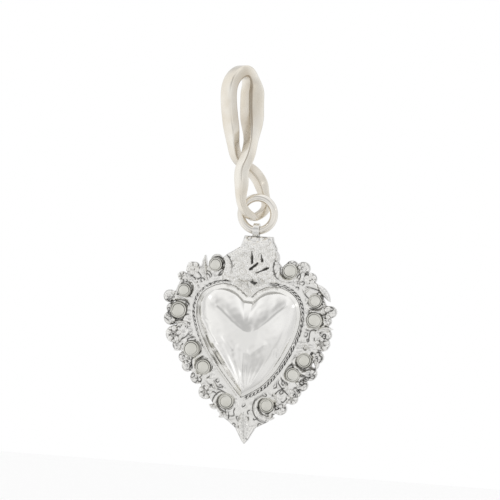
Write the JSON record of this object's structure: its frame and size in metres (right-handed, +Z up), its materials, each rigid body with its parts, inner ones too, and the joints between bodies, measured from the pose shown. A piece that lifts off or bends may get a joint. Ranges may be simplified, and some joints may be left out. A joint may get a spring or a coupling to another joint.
{
  "type": "heart charm pendant",
  "caption": "Cast silver heart charm with a relief border of scrolls and flowers, hung by a jump ring from a bent wire bail.",
  "frame": {"origin": "underside of the bail's crest, where a chain or cord bears", "axes": "+Z up along the hanging charm, front of the charm faces -Y, +X to the viewer's right"},
  "size_m": [0.0237, 0.0064, 0.051],
  "materials": {
    "bail_silver": "warm tumbled silver, slightly worn",
    "ring_silver": "polished silver wire",
    "dome_silver": "polished pressed silver with soft dents",
    "scroll_silver": "satin silver with darkened recesses",
    "relief_silver": "bright silver with darkened recesses",
    "plate_silver": "plain matt silver back"
  },
  "bodies": {
    "bail": {"bail": "bail_silver"},
    "ring": {"jump_ring": "ring_silver"},
    "charm": {"back_plate": "plate_silver", "border_balls": "relief_silver", "cluster_left": "relief_silver", "cluster_right": "relief_silver", "collar_leaf_left": "relief_silver", "collar_leaf_right": "relief_silver", "eyelet": "relief_silver", "frond_left": "relief_silver", "frond_right": "relief_silver", "heart_dome": "dome_silver", "heart_rim": "relief_silver", "leaf_left_1": "relief_silver", "leaf_left_2": "relief_silver", "leaf_left_3": "relief_silver", "leaf_left_4": "relief_silver", "leaf_left_5": "relief_silver", "leaf_left_6": "relief_silver", "leaf_right_1": "relief_silver", "leaf_right_2": "relief_silver", "leaf_right_3": "relief_silver", "leaf_right_4": "relief_silver", "leaf_right_5": "relief_silver", "leaf_right_6": "relief_silver", "leaf_right_7": "relief_silver", "leaf_right_8": "relief_silver", "leaf_tip": "relief_silver", "ribbon_lower": "relief_silver", "ribbon_upper": "relief_silver", "rope_left": "relief_silver", "rope_right": "relief_silver", "rosette_left_1": "relief_silver", "rosette_left_2": "relief_silver", "rosette_left_3": "relief_silver", "rosette_left_4": "relief_silver", "rosette_left_5": "relief_silver", "rosette_left_6": "relief_silver", "rosette_right_1": "relief_silver", "rosette_right_2": "relief_silver", "rosette_right_3": "relief_silver", "rosette_right_4": "relief_silver", "scroll_left_1": "scroll_silver", "scroll_left_2": "scroll_silver", "scroll_left_3": "scroll_silver", "scroll_left_4": "scroll_silver", "scroll_left_5": "scroll_silver", "scroll_left_6": "scroll_silver", "scroll_right_1": "scroll_silver", "scroll_right_2": "scroll_silver", "scroll_right_3": "scroll_silver", "scroll_right_4": "scroll_silver", "scroll_right_5": "scroll_silver", "scroll_right_6": "scroll_silver", "tongue_centre": "relief_silver", "tongue_left": "relief_silver", "tongue_outer_left": "relief_silver", "tongue_outer_right": "relief_silver", "tongue_right": "relief_silver"}
  },
  "joints": [
    {"name": "bail_swing", "type": "hinge", "parent": "bail", "child": "ring", "pos_m": [0.00305, 0, -0.01846], "axis": [0, 1, 0], "range_deg": [-60, 20]},
    {"name": "charm_rock", "type": "hinge", "parent": "ring", "child": "charm", "pos_m": [0.00305, 0, -0.02069], "axis": [1, 0, 0], "range_deg": [-75, 75]}
  ]
}
